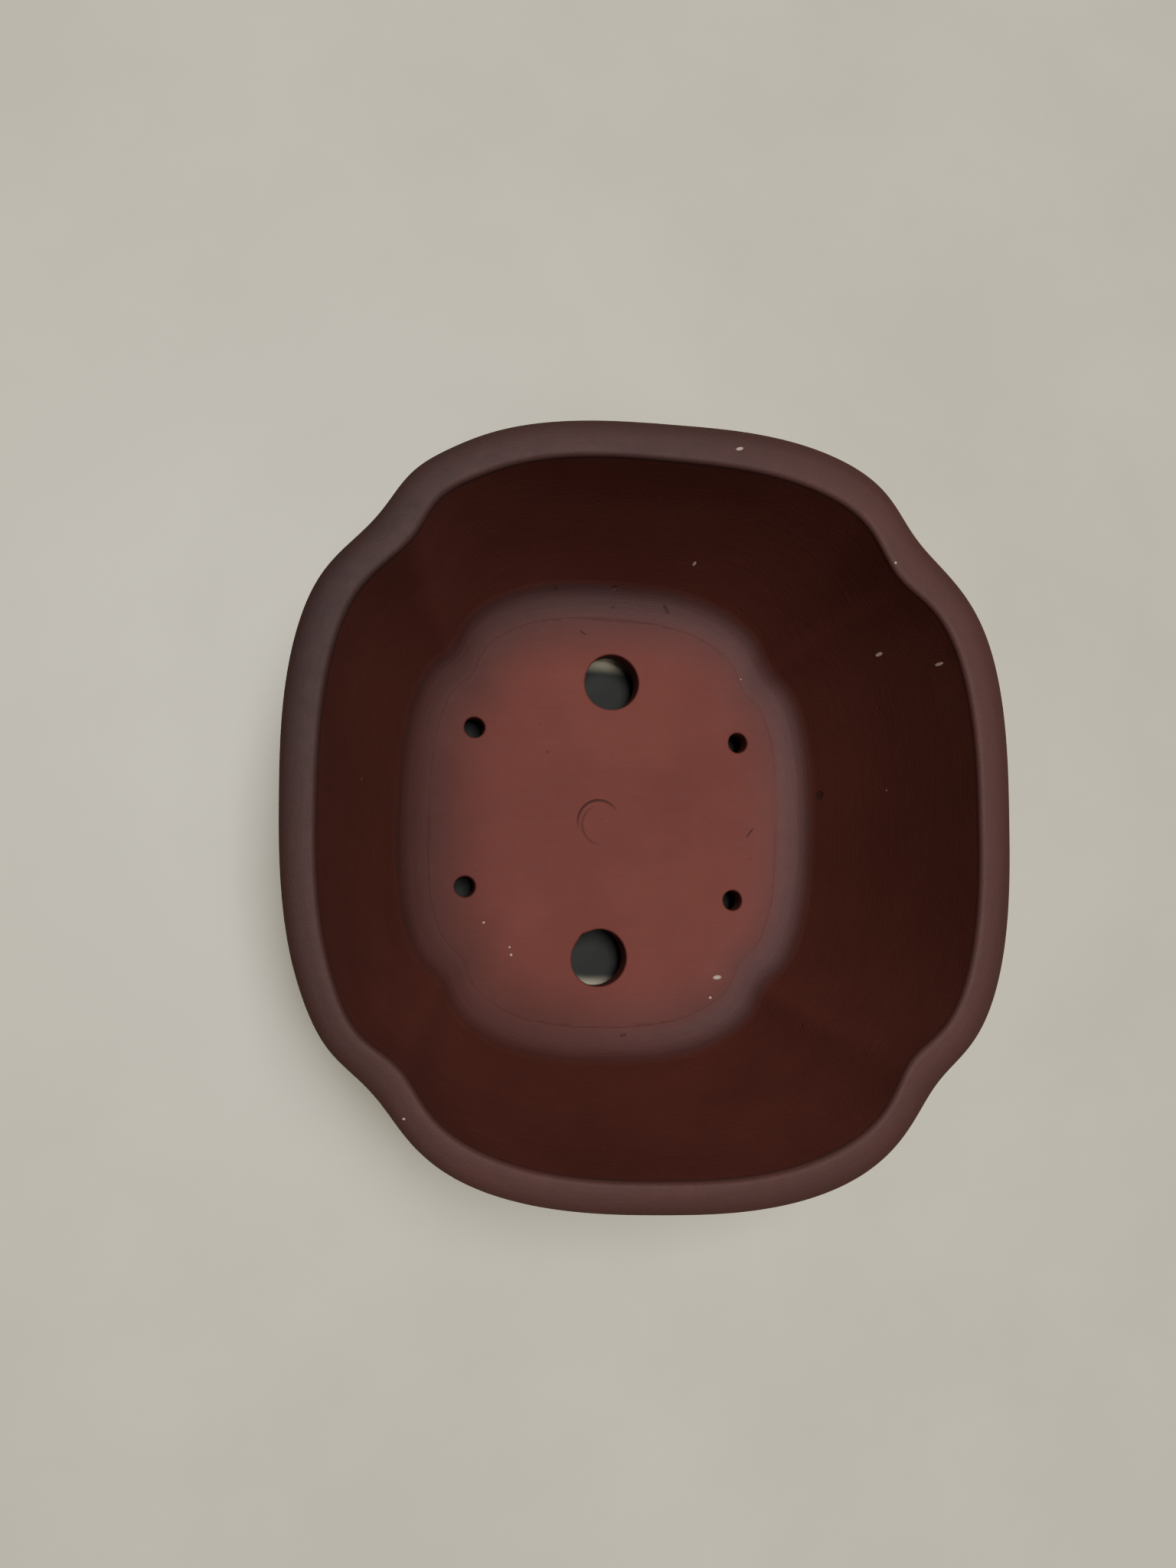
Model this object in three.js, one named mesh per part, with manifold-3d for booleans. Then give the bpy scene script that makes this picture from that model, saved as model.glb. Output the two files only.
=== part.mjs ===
// A four-lobed ("mokko") bonsai pot of unglazed red-brown clay, built the way a slab pot is luted together:
// a floor slab, four curved wall panels, a coil that rounds the corner inside, a rolled lip and four bracket feet.
// Millimetres, +Z up. The origin is on the ground under the middle of the pot; the long side runs along Y.
import * as THREE from "three";
import { mergeVertices } from "three/addons/utils/BufferGeometryUtils.js";
import Module from "manifold-3d";

// Overall sizes, over the lip.
const POT_WIDTH = 210;
const POT_LENGTH = 220;
const POT_HEIGHT = 90;

// The lip: a strip that rolls outwards, nearly flat on top, with its crest near the inner edge.
const LIP_WIDTH = 10.4;
const LIP_HEIGHT = 13;
const LIP_DROP = 3; // how far its widest line lies below its crest
const LIP_EDGE_RADIUS = 1.8; // the round along its inner edge

// Walls, floor and the coil inside the corner between them.
const WALL_THICKNESS = 7;
const WALL_BELLY = 1.5; // how far a panel bows out halfway between the floor and the lip
const FLOOR_WIDTH = 135.6; // inside, where the wall meets the floor
const FLOOR_LENGTH = 152.4;
const FLOOR_THICKNESS = 8;
const COVE_WIDTH = 9; // from the wall to where the coil would run out into the floor
const COVE_HEIGHT = 3.6; // up the wall
const COVE_TOE = 0.5; // how thin the coil gets on the floor

// The plan: a rounded oblong with an indent at each of its four corners.
const OBLONG_POWER = 2.62; // 2 is an ellipse, more is squarer
const CORNER_ANGLE = 44.6; // degrees from the X axis to an indent
const INDENT_SPREAD = 7; // degrees
const LIP_INDENT = 5.2;
const FLOOR_INDENT = 3.5;
const OUTSIDE_SOFTNESS = 2; // a rounded hollow outside
const LIP_SOFTNESS = 1.2;
const FLOOR_SOFTNESS = 0.6; // nearly a crease, inside at the foot of the wall

// Two drain holes on the long axis, and four holes for the wires that tie a tree down.
const DRAIN_HOLE = 18;
const DRAIN_SPACING = 91;
const WIRE_HOLE = 6.6;
const WIRE_SPACING_X = 90;
const WIRE_SPACING_Y = 52;
const WIRE_SHIFT = 2; // the wire holes as a group sit this far towards the back

// Bracket feet under the indents.
const FOOT_HEIGHT = 8;
const FOOT_THICKNESS = 9;
const FOOT_SETBACK = 2; // from the lower edge of the floor slab
const FOOT_TOP_LENGTH = 46;
const FOOT_TOE_LENGTH = 28;

const JOINT_GAP = 0.3; // between luted pieces

// Fineness of the facets.
const RING_STEPS = 80;
const CROWDING = 0.5; // how strongly the ring steps crowd towards the indents
const WALL_STEPS = 4;
const LIP_STEPS = 5;
const EDGE_STEPS = 3;
const COVE_STEPS = 4;
const HOLE_STEPS = 28;
const BRACKET_STEPS = 6;
const REACH = 2 * POT_LENGTH; // how far a cutting shape runs out

// What follows from the sizes above.
const floorTop = FOOT_HEIGHT + FLOOR_THICKNESS;
const lipBottom = POT_HEIGHT - LIP_HEIGHT;
const lipEdge = POT_HEIGHT - LIP_EDGE_RADIUS;
const coilToe = 1 - Math.sqrt(COVE_TOE / COVE_HEIGHT); // the share of the coil's face where it ends

const wasm = await Module();
wasm.setup();

const { degToRad, radToDeg, lerp } = THREE.MathUtils;
const steps = (count) => Array.from({ length: count + 1 }, (_, index) => index / count);
const closed = (stations) => [...stations, stations[0]];

// ---- The plan outline, and how it changes with height ----

// A station is one level of the outline: half its width and length, and how deep and soft its indents are.
const station = (halfWidth, halfLength, indent, softness, z) => ({ halfWidth, halfLength, indent, softness, z });
const grown = (at, by) => ({ ...at, halfWidth: at.halfWidth + by, halfLength: at.halfLength + by });

function between(first, last, share) {
  const mix = (key) => lerp(first[key], last[key], share);
  return station(mix("halfWidth"), mix("halfLength"), mix("indent"), mix("softness"), mix("z"));
}

// Distance from the axis to the outline at an angle: an oblong less a dip at each corner.
// The dip is a bell where its softness is large, and a pointed crease where it is near 0.
function outlineRadius(at, angle) {
  if (at.halfWidth <= 0) return 0;
  const across = Math.abs(Math.cos(angle));
  const along = Math.abs(Math.sin(angle));
  const sum = (across / at.halfWidth) ** OBLONG_POWER + (along / at.halfLength) ** OBLONG_POWER;
  const away = (radToDeg(Math.atan2(along, across)) - CORNER_ANGLE) / INDENT_SPREAD;
  return sum ** (-1 / OBLONG_POWER) - at.indent * Math.exp(-2 * (Math.hypot(away, at.softness) - at.softness));
}

const floorLine = station(FLOOR_WIDTH / 2, FLOOR_LENGTH / 2, FLOOR_INDENT, FLOOR_SOFTNESS, floorTop);
const lipOutside = station(POT_WIDTH / 2, POT_LENGTH / 2, LIP_INDENT, OUTSIDE_SOFTNESS, POT_HEIGHT - LIP_DROP);
const lipInside = { ...grown(lipOutside, -LIP_WIDTH), softness: LIP_SOFTNESS, z: lipEdge };

// The inner face of the wall at a height, and its outer face, which is WALL_THICKNESS further out.
function innerFace(z) {
  const share = (z - floorTop) / (lipEdge - floorTop);
  return grown(between(floorLine, lipInside, share), WALL_BELLY * 4 * share * (1 - share));
}

const outerFace = (z) => ({ ...grown(innerFace(z), WALL_THICKNESS), softness: OUTSIDE_SOFTNESS });

// ---- Solids ----

// A geometry as a manifold-3d solid.
function solidOf(geometry) {
  geometry.deleteAttribute("normal");
  geometry.deleteAttribute("uv");
  const merged = mergeVertices(geometry);
  const mesh = new wasm.Mesh({
    numProp: 3,
    vertProperties: merged.getAttribute("position").array,
    triVerts: new Uint32Array(merged.index.array),
  });
  return new wasm.Manifold(mesh);
}

// A manifold-3d solid as a geometry for a mesh.
function geometryOf(solid) {
  const { vertProperties, triVerts } = solid.getMesh();
  const geometry = new THREE.BufferGeometry();
  geometry.setAttribute("position", new THREE.BufferAttribute(vertProperties, 3));
  geometry.setIndex(new THREE.BufferAttribute(triVerts, 1));
  geometry.computeVertexNormals();
  return geometry;
}

// A lathe whose rings are pushed out to the four-lobed outline. Its profile runs anticlockwise with the axis
// on the left, and closes on itself or starts and ends on the axis.
function lobedLathe(stations) {
  const lathe = new THREE.LatheGeometry(
    stations.map((at) => new THREE.Vector2(at.halfWidth, at.z)),
    RING_STEPS,
  );
  const position = lathe.getAttribute("position");
  for (let index = 0; index < position.count; index += 1) {
    const at = stations[index % stations.length];
    const turn = (2 * Math.PI * Math.floor(index / stations.length)) / RING_STEPS;
    const angle = turn + (CROWDING / 4) * Math.sin(4 * turn);
    const radius = outlineRadius(at, angle);
    position.setXYZ(index, radius * Math.cos(angle), radius * Math.sin(angle), at.z);
  }
  return solidOf(lathe);
}

// A cylinder along Z, right through the floor slab.
function floorDrill(diameter, x, y) {
  const drill = new THREE.CylinderGeometry(diameter / 2, diameter / 2, 2 * FLOOR_THICKNESS, HOLE_STEPS);
  drill.rotateX(Math.PI / 2).translate(x, y, FOOT_HEIGHT + FLOOR_THICKNESS / 2);
  return solidOf(drill);
}

// ---- The pieces ----

// The floor slab runs under the walls, and its edge carries on their slope. The walls and the coil stand on a
// seat round its edge that is one joint gap lower than the floor inside.
function floorSlab() {
  const axis = (z) => station(0, 0, 0, 0, z);
  const seat = floorTop - JOINT_GAP;
  const bed = grown(coilFace(coilToe), -JOINT_GAP);
  const profile = [
    axis(FOOT_HEIGHT),
    outerFace(FOOT_HEIGHT),
    outerFace(seat),
    { ...bed, z: seat },
    { ...bed, z: floorTop },
    axis(floorTop),
  ];
  let slab = lobedLathe(profile);
  for (const side of [-1, 1]) {
    slab = slab.subtract(floorDrill(DRAIN_HOLE, 0, (side * DRAIN_SPACING) / 2));
    for (const end of [-1, 1]) {
      const y = WIRE_SHIFT + (end * WIRE_SPACING_Y) / 2;
      slab = slab.subtract(floorDrill(WIRE_HOLE, (side * WIRE_SPACING_X) / 2, y));
    }
  }
  return slab;
}

// The wall as one ring, which the panels are cut from.
function wallRing() {
  const heights = steps(WALL_STEPS).map((share) => lerp(floorTop, lipBottom - JOINT_GAP, share));
  return lobedLathe(closed([...heights.map(outerFace), ...heights.map(innerFace).reverse()]));
}

// A sector between two indents that cuts one panel. Its sides stop half a gap short of the indents' planes.
function sector(middle, halfAngle) {
  const spread = degToRad(halfAngle);
  const tip = JOINT_GAP / 2 / Math.sin(spread);
  const far = tip + REACH * Math.cos(spread);
  const side = REACH * Math.sin(spread);
  const shape = new THREE.Shape([[tip, 0], [far, -side], [far, side]].map(([x, y]) => new THREE.Vector2(x, y)));
  const wedge = new THREE.ExtrudeGeometry(shape, { depth: POT_HEIGHT, bevelEnabled: false });
  return solidOf(wedge.rotateZ(degToRad(middle)));
}

// The face of the coil is a parabola that falls from the wall, at 0, and would run out into the floor, at 1.
function coilFace(share) {
  const z = floorTop + COVE_HEIGHT * (1 - share) ** 2;
  return grown(innerFace(z), -COVE_WIDTH * share);
}

// The coil: its back lies along the floor and the wall, and its face starts a gap off the wall and ends at the toe.
function coveCoil() {
  const face = steps(COVE_STEPS).map((share) => coilFace(lerp(JOINT_GAP / COVE_WIDTH, coilToe, share)));
  const toe = { ...face[COVE_STEPS], z: floorTop };
  const corner = grown(innerFace(floorTop), -JOINT_GAP);
  return lobedLathe(closed([toe, corner, ...face]));
}

// The lip: up the inner face, a round to the crest, a dome that falls to the widest line, and a rounded
// underside that comes back to the top of the wall.
function rimLip() {
  const across = (share, z) => ({ ...between(lipInside, lipOutside, share), z });
  const edgeShare = LIP_EDGE_RADIUS / LIP_WIDTH;
  const arc = (count, stationAt) => steps(count).map((share) => stationAt((share * Math.PI) / 2));
  const edge = arc(EDGE_STEPS, (angle) =>
    across(edgeShare * (1 - Math.cos(angle)), lipEdge + LIP_EDGE_RADIUS * Math.sin(angle)),
  );
  const dome = arc(LIP_STEPS, (angle) =>
    across(lerp(edgeShare, 1, Math.sin(angle)), lipOutside.z + LIP_DROP * Math.cos(angle)),
  );
  const underside = arc(LIP_STEPS, (angle) => ({
    ...between(outerFace(lipBottom), lipOutside, Math.cos(angle)),
    z: lerp(lipOutside.z, lipBottom, Math.sin(angle)),
  }));
  const profile = [innerFace(lipBottom), ...edge, ...dome.slice(1), ...underside.slice(1)];
  return lobedLathe(closed(profile.reverse()));
}

// A foot: a short length of a low ring under the floor slab, cut to a bracket that is longer at the top.
function bracketFoot(angle) {
  const top = FOOT_HEIGHT - JOINT_GAP;
  const outside = grown(outerFace(FOOT_HEIGHT), -FOOT_SETBACK);
  const inside = grown(outside, -FOOT_THICKNESS);
  const level = (at, z) => ({ ...at, z });
  const ring = lobedLathe(closed([level(inside, 0), level(outside, 0), level(outside, top), level(inside, top)]));
  const toe = FOOT_TOE_LENGTH / 2;
  const heel = FOOT_TOP_LENGTH / 2;
  const bracket = new THREE.Shape();
  bracket.moveTo(-toe, 0);
  bracket.lineTo(toe, 0);
  bracket.quadraticCurveTo(toe, top, heel, top);
  bracket.lineTo(-heel, top);
  bracket.quadraticCurveTo(-toe, top, -toe, 0);
  const cutter = new THREE.ExtrudeGeometry(bracket, { depth: REACH, bevelEnabled: false, curveSegments: BRACKET_STEPS });
  cutter.rotateX(Math.PI / 2).rotateZ(degToRad(angle + 90));
  return ring.intersect(solidOf(cutter));
}

// ---- The pot ----

const clay = { color: 0x6b3d33, roughness: 0.72, metalness: 0 };
const paleClay = { color: 0x74514a, roughness: 0.66, metalness: 0 };
const darkClay = { color: 0x57302a, roughness: 0.78, metalness: 0 };

const pot = new THREE.Group();

function addPiece(name, solid, finish) {
  const mesh = new THREE.Mesh(geometryOf(solid), new THREE.MeshStandardMaterial(finish));
  mesh.name = name;
  pot.add(mesh);
}

addPiece("floor_slab", floorSlab(), clay);
addPiece("cove_coil", coveCoil(), paleClay);
addPiece("rim_lip", rimLip(), paleClay);

const panels = { right: 0, back: 90, left: 180, front: 270 };
const wall = wallRing();
for (const [side, middle] of Object.entries(panels)) {
  const halfAngle = middle % 180 === 0 ? CORNER_ANGLE : 90 - CORNER_ANGLE;
  addPiece(`wall_${side}`, wall.intersect(sector(middle, halfAngle)), clay);
}

const corners = {
  back_right: CORNER_ANGLE,
  back_left: 180 - CORNER_ANGLE,
  front_left: 180 + CORNER_ANGLE,
  front_right: 360 - CORNER_ANGLE,
};
for (const [corner, angle] of Object.entries(corners)) addPiece(`foot_${corner}`, bracketFoot(angle), darkClay);

export default pot;
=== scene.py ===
# A four-lobed bonsai pot in unglazed red-brown clay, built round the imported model.
import math

import bpy
import bmesh
import numpy as np
from mathutils import Matrix, Vector
from mathutils.geometry import delaunay_2d_cdt


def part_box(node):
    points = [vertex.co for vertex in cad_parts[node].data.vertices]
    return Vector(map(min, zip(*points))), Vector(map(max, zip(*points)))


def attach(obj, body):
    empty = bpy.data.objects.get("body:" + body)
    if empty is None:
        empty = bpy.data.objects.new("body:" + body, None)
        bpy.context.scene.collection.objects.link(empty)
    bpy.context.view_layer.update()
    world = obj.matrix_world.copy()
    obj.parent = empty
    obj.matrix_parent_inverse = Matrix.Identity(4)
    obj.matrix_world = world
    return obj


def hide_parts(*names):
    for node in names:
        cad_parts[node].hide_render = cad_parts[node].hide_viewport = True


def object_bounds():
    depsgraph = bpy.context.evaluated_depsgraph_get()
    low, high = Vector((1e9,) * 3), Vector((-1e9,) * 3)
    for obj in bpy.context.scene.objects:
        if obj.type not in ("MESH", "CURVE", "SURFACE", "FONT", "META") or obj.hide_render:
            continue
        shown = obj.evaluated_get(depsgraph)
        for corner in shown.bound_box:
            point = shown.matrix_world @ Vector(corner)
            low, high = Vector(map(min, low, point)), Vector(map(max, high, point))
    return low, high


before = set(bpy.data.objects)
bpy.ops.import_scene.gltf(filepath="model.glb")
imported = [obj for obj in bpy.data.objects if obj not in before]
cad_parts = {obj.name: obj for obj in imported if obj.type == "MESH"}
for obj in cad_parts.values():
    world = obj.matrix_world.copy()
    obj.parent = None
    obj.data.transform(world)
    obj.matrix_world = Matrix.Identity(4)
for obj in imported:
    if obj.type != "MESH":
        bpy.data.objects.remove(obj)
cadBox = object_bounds()
mm = 0.001
fineness = 1.0  # fewer columns and rows while trying things

# The view: where the camera stands over the pot, and how it leans.
cameraView = {
    "place": (-100.6 * mm, -25.5 * mm, 332.3 * mm),  # from the middle of the mouth
    "leanForward": 0.083,
    "leanSideways": -0.2287,
    "turn": 0.0265,
    "lens": 29.23,
}

# Light: a broad soft box nearly overhead, a small weak one over the front right, and a pale room.
lightSetup = {
    "keyPlace": (-0.03, 0.33, 2.45),
    "keySize": (0.76, 1.10),
    "keyPower": 71.0,
    "sidePlace": (0.75, -0.95, 2.25),
    "sideSize": (0.5, 0.3),
    "sidePower": 7.0,
    "roomColor": (0.84, 0.86, 0.88, 1.0),
    "roomStrength": 0.13,
}

floorLook = {
    "size": 6.0,
    "color": (0.63, 0.57, 0.41, 1),
    "shade": (0.57, 0.515, 0.37, 1),
    "roughness": 0.45,
    "under": (0.019, 0.020, 0.018, 1),  # painted shadow under the pot, seen through the drain holes
    "underCore": 0.051,
    "underReach": 0.058,
    "underShape": (0.85, 1.0, 1.0),
}


def addCamera():
    # the lens looks down its own -Z: it leans forward, then sideways, then turns about the upright axis
    camera = bpy.data.objects.new("camera", bpy.data.cameras.new("camera"))
    bpy.context.scene.collection.objects.link(camera)
    camera.data.lens = cameraView["lens"]
    camera.data.clip_start = 0.01
    turn = Matrix.Rotation(cameraView["turn"], 4, "Z")
    sideways = Matrix.Rotation(cameraView["leanSideways"], 4, "Y")
    forward = Matrix.Rotation(cameraView["leanForward"], 4, "X")
    place = Vector(cameraView["place"]) + Vector((0, 0, cadBox[1].z))
    camera.matrix_world = Matrix.Translation(place) @ turn @ sideways @ forward
    bpy.context.scene.camera = camera


def addAreaLight(name, place, size, power):
    light = bpy.data.lights.new(name, "AREA")
    light.shape = "RECTANGLE"
    light.size, light.size_y = size
    light.energy = power
    holder = bpy.data.objects.new(name, light)
    bpy.context.scene.collection.objects.link(holder)
    holder.location = place
    holder.rotation_euler = (-Vector(place)).to_track_quat("-Z", "Y").to_euler()


def addLights():
    setup = lightSetup
    addAreaLight("key_light", setup["keyPlace"], setup["keySize"], setup["keyPower"])
    addAreaLight("side_light", setup["sidePlace"], setup["sideSize"], setup["sidePower"])
    world = bpy.data.worlds.new("room")
    world.use_nodes = True
    back = world.node_tree.nodes["Background"]
    back.inputs["Color"].default_value = setup["roomColor"]
    back.inputs["Strength"].default_value = setup["roomStrength"]
    bpy.context.scene.world = world


class Value:
    # a number in a node tree: sums on it add Math nodes
    def __init__(self, graph, socket):
        self.graph, self.socket = graph, socket

    def __add__(self, other):
        return self.graph.sum("ADD", self, other)

    def __sub__(self, other):
        return self.graph.sum("SUBTRACT", self, other)

    def __rsub__(self, other):
        return self.graph.sum("SUBTRACT", other, self)

    def __mul__(self, other):
        return self.graph.sum("MULTIPLY", self, other)

    __radd__ = __add__
    __rmul__ = __mul__

    def ramp(self, start, end):
        # 0 below start, 1 above end, eased between
        node = self.graph.node(
            "ShaderNodeMapRange",
            {"interpolation_type": "SMOOTHSTEP"},
            {"Value": self, "From Min": start, "From Max": end},
        )
        return Value(self.graph, node.outputs["Result"])


class Graph:
    # a material's node tree
    def __init__(self, name):
        self.material = bpy.data.materials.new(name)
        self.material.use_nodes = True
        self.tree = self.material.node_tree
        self.tree.nodes.clear()

    def node(self, kind, settings=None, sockets=None):
        # settings go in first, then what each socket holds: a value, a link or a Value
        made = self.tree.nodes.new(kind)
        for name, setting in (settings or {}).items():
            setattr(made, name, setting)
        for name, held in (sockets or {}).items():
            socket = made.inputs[name]
            if isinstance(held, Value):
                held = held.socket
            if isinstance(held, bpy.types.NodeSocket):
                self.tree.links.new(held, socket)
            else:
                socket.default_value = held
        return made

    def sum(self, operation, first, second):
        made = self.node("ShaderNodeMath", {"operation": operation}, {0: first, 1: second})
        return Value(self, made.outputs[0])

    def blend(self, share, under, over, how="MIX"):
        # two colours mixed by a share
        made = self.node(
            "ShaderNodeMix",
            {"data_type": "RGBA", "blend_type": how},
            {"Factor": share, 6: under, 7: over},
        )
        return made.outputs[2]

    def attribute(self, name):
        return self.node("ShaderNodeAttribute", {"attribute_name": name})

    def noise(self, vector, scale, detail=2.0, rough=0.5):
        made = self.node(
            "ShaderNodeTexNoise",
            {},
            {"Vector": vector, "Scale": scale, "Detail": detail, "Roughness": rough},
        )
        return Value(self, made.outputs["Fac"])

    def stretched(self, vector, scale):
        return self.node("ShaderNodeMapping", {}, {"Vector": vector, "Scale": scale}).outputs["Vector"]

    def measured(self, operation, first, second):
        # a number from two vectors, such as the distance between them
        made = self.node("ShaderNodeVectorMath", {"operation": operation}, {0: first, 1: second})
        return Value(self, made.outputs["Value"])

    def near(self, vector, point, core, reach):
        # 1 up to core from the point, 0 from reach outwards
        return 1 - self.measured("DISTANCE", vector, point).ramp(core, reach)

    def mark(self, vector, point, turn, long, short, deep=3.0):
        # an oval mark round a point: all in mm but the turn
        place = [length * mm for length in point]
        size = [length * mm for length in (long, short, deep)]
        sockets = {"Vector": vector, "Location": place, "Rotation": (0, 0, turn), "Scale": size}
        fitted = self.node("ShaderNodeMapping", {"vector_type": "TEXTURE"}, sockets).outputs["Vector"]
        away = self.node("ShaderNodeVectorMath", {"operation": "LENGTH"}, {0: fitted})
        return 1 - Value(self, away.outputs["Value"]).ramp(0.6, 1.1)

    def arc(self, vector, middle, radius, side, core=0.15, reach=0.45):
        # a hair-thin part of a circle on one side of its middle, in mm
        centre = [length * mm for length in middle]
        away = self.measured("DISTANCE", vector, centre) - radius * mm
        offset = self.node("ShaderNodeVectorMath", {"operation": "SUBTRACT"}, {0: vector, 1: centre})
        toSide = self.measured("DOT_PRODUCT", offset.outputs[0], side)
        line = 1 - self.sum("ABSOLUTE", away, 0.0).ramp(core * mm, reach * mm)
        return line * toSide.ramp(-radius * 0.2 * mm, radius * mm)

    def spots(self, vector, scale, size, share):
        # small round spots: near a cell's middle, in the share of cells whose random number is high enough
        made = self.node("ShaderNodeTexVoronoi", {}, {"Vector": vector, "Scale": scale})
        near = 1 - Value(self, made.outputs["Distance"]).ramp(size * 0.5, size)
        split = self.node("ShaderNodeSeparateColor", {}, {"Color": made.outputs["Color"]})
        return near * Value(self, split.outputs[0]).ramp(1 - share, 1 - share + 0.002)


clayLook = {
    "deep": (0.110, 0.0262, 0.0195, 1),
    "warm": (0.127, 0.0318, 0.0237, 1),
    "polishAndShade": (0.054, 0.0225, 0.0185, 1),  # the lip, polished by hands and tools, its colour darkened and greyed with painted shade and sheen
    "greySheen": (0.036, 0.0190, 0.0172, 1),  # the same, greyer on one side: a painted sheen
    "lipShade": 0.82,  # the lip's brightness at its outer edge, a painted shade
    "filmAndSheen": (0.072, 0.0320, 0.0315, 1),  # the greyish film over the coil, with a painted sheen
    "edgeShade": 0.60,  # the floor's brightness next to the wall, a painted shade
    "paleGrain": (0.40, 0.30, 0.24, 1),
    "darkGrain": (0.030, 0.012, 0.009, 1),
    "wallShadeTint": (0.60, 0.57, 0.48, 1),  # painted shade on the inner wall: what it keeps of the floor's colour
    "roughness": 0.74,
    "rubbedRoughness": 0.66,
    "specular": 0.26,
    "relief": 0.22 * mm,  # height of the bumps for each unit of their sum
    "cloudScale": 28,  # broad firing clouds; the scales are patches to the metre
    "mottleScale": 190,  # patches the size of a fingertip
    "grainScale": 1500,  # the clay's own grain
    "toolScale": (30, 30, 900),  # tool marks: long along the walls, fine across
}

# Crumbs of pale grit and small nicks, by slot: place, turn, half length and half width in mm.
gritMarks = {
    "body_clay": (
        ((38.8, -50.8, 16.0), 0.1, 1.6, 0.8),
        ((36.5, -57.5, 16.0), 0.0, 0.6, 0.5),
        ((49.1, -64.7, 16.5), 1.3, 0.7, 0.4),
        ((-30.8, -44.4, 16.0), 0.4, 0.5, 0.5),
        ((-31.4, -42.0, 16.0), 0.0, 0.4, 0.4),
        ((-40.0, -34.3, 16.0), 0.2, 0.5, 0.4),
        ((75.1, 52.5, 59.7), 0.6, 0.7, 0.7),
        ((21.6, 82.7, 36.4), 0.0, 0.6, 0.6),
    ),
    "lip_clay": (
        ((17.6, 102.2, 89.0), 0.3, 1.3, 0.6),
        ((-69.8, -83.1, 87.0), 0.0, 0.6, 0.5),
        ((84.6, 46.5, 80.2), 0.3, 0.7, 0.6),
        ((65.8, 73.4, 88.5), 0.0, 0.5, 0.5),
    ),
}
nickMarks = {
    "body_clay": (
        ((49.5, -2.4, 16.0), 0.9, 2.2, 0.28),
        ((-10.0, 62.0, 16.0), 2.6, 1.2, 0.25),
        ((71.0, 10.8, 23.5), 1.4, 1.7, 1.2),
    ),
    "cove_clay": (
        ((-20.6, 75.4, 17.2), 2.3, 1.8, 0.5),
        ((-0.5, 77.1, 18.3), 0.4, 1.4, 0.6),
        ((18.2, 71.5, 16.8), 2.2, 1.9, 0.5),
        ((6.9, -69.7, 17.0), 0.2, 1.3, 0.4),
    ),
}

# Faint arcs left on the floor by a turning tool: middle, radius, the side they show on, and depth.
toolArcs = (
    ((-3.0, -0.5, 16.0), 7.0, (-0.45, 0.89, 0.0), 1.3),
    ((-2.1, -1.6, 16.0), 6.4, (-0.98, -0.2, 0.0), 0.6),
)


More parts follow.
